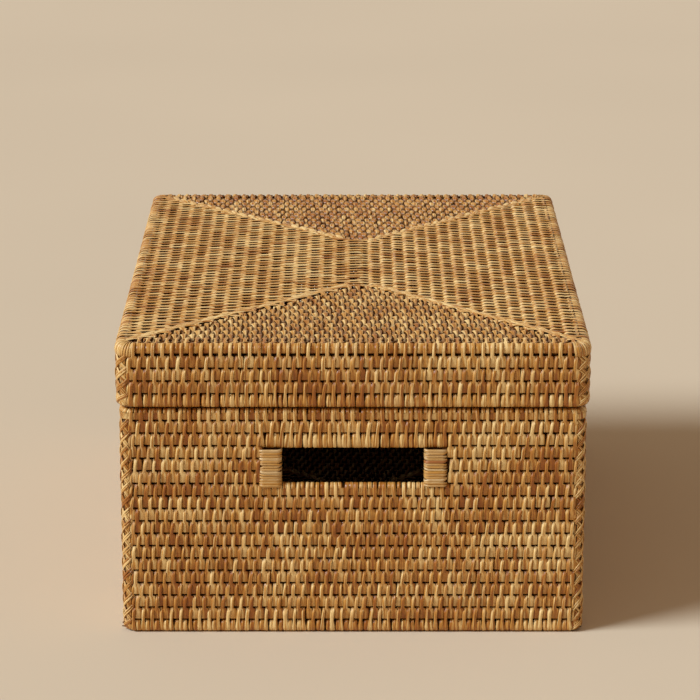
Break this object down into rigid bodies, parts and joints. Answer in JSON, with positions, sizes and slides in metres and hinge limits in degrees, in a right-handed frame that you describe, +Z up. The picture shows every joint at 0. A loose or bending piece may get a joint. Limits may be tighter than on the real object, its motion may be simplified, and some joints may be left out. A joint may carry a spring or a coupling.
{
  "type": "woven storage box with lid",
  "caption": "Rectangular woven rattan storage box with a lift-off lid, a hipped pattern of rods on top and a hand hold in each short end.",
  "frame": {"origin": "middle of the underside, on the surface that the box stands on", "axes": "+Z up, +Y from the front short end to the back one, +X to the right seen from the front"},
  "size_m": [0.3088, 0.4288, 0.1989],
  "materials": {
    "woven_rattan": "honey-brown split cane woven over rattan rods, satin",
    "base_rattan": "honey-brown rattan panel, satin",
    "binder_cane": "pale straw cane wrapping, satin",
    "lath": "plain split-cane lath, matt"
  },
  "bodies": {
    "box_body": {"base_panel": "base_rattan", "body_row_01": "woven_rattan", "body_row_02": "woven_rattan", "body_row_03": "woven_rattan", "body_row_04": "woven_rattan", "body_row_05": "woven_rattan", "body_row_06": "woven_rattan", "body_row_07": "woven_rattan", "body_row_08": "woven_rattan", "body_row_09": "woven_rattan", "body_row_10": "woven_rattan", "body_row_11": "woven_rattan", "body_row_12": "woven_rattan", "body_row_13_left": "woven_rattan", "body_row_13_right": "woven_rattan", "body_row_14_left": "woven_rattan", "body_row_14_right": "woven_rattan", "body_row_15_left": "woven_rattan", "body_row_15_right": "woven_rattan", "body_row_16": "woven_rattan", "body_row_17": "woven_rattan", "body_row_18": "woven_rattan", "front_hold_binder_left": "binder_cane", "front_hold_binder_right": "binder_cane", "back_hold_binder_left": "binder_cane", "back_hold_binder_right": "binder_cane", "locating_lath_left": "lath", "locating_lath_right": "lath", "locating_lath_front": "lath", "locating_lath_back": "lath"},
    "lid": {"lid_row_1": "woven_rattan", "lid_row_2": "woven_rattan", "lid_row_3": "woven_rattan", "lid_row_4": "woven_rattan", "lid_row_5": "woven_rattan", "lid_top_rod_01": "woven_rattan", "lid_top_rod_02": "woven_rattan", "lid_top_rod_03": "woven_rattan", "lid_top_rod_04": "woven_rattan", "lid_top_rod_05": "woven_rattan", "lid_top_rod_06": "woven_rattan", "lid_top_rod_07": "woven_rattan", "lid_top_rod_08": "woven_rattan", "lid_top_rod_09": "woven_rattan", "lid_top_rod_10": "woven_rattan", "lid_top_rod_11": "woven_rattan", "lid_top_rod_12": "woven_rattan", "lid_top_rod_13": "woven_rattan", "lid_top_rod_14": "woven_rattan", "lid_top_rod_15": "woven_rattan", "lid_top_rod_16": "woven_rattan", "lid_ridge_rod": "woven_rattan"}
  },
  "joints": [
    {"name": "lid_lift", "type": "slide", "parent": "box_body", "child": "lid", "axis": [0, 0, 1], "range_m": [0, 0.15]}
  ]
}
